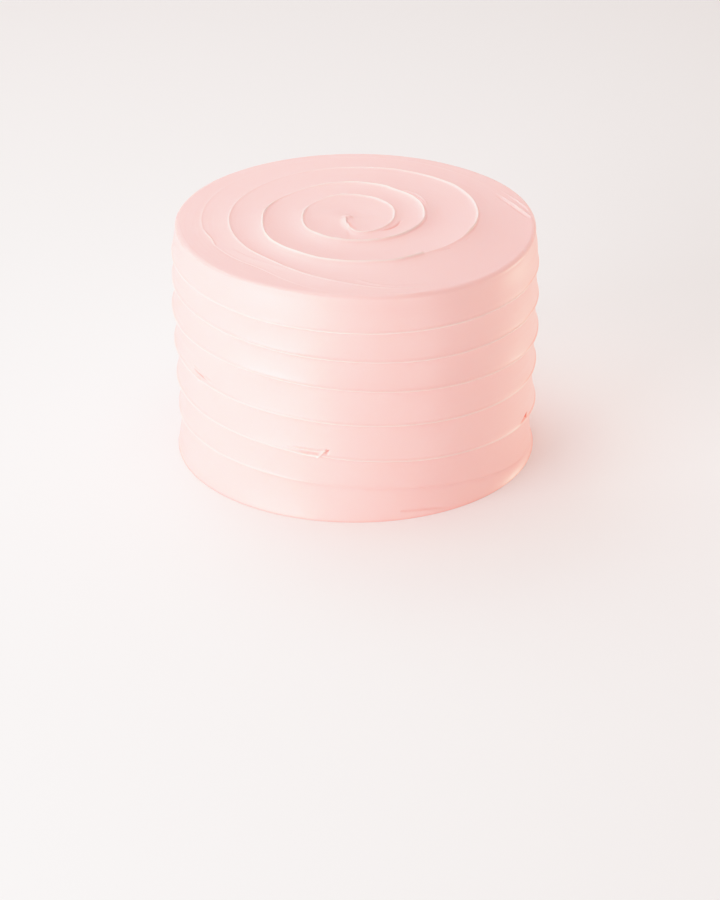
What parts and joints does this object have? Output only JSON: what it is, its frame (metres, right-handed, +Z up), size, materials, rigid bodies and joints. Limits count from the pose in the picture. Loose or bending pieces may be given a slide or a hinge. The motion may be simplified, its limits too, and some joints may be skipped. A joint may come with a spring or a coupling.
{
  "type": "buttercream cake",
  "caption": "Tall round layer cake iced all over in smooth buttercream, with a spiral spatula ridge on top and a helical ridge round the side.",
  "frame": {"origin": "centre of the cake's outline on its flat underside, where it rests", "axes": "+Z up, from the foot to the iced top; -Y is the front, the side that the picture shows; +X is to the right of someone facing the front"},
  "size_m": [0.1664, 0.1662, 0.1115],
  "materials": {
    "buttercream": "smooth pale pink buttercream with a soft satin gloss and fine spatula streaks"
  },
  "bodies": {
    "root": {"buttercream_cake": "buttercream"}
  },
  "joints": []
}
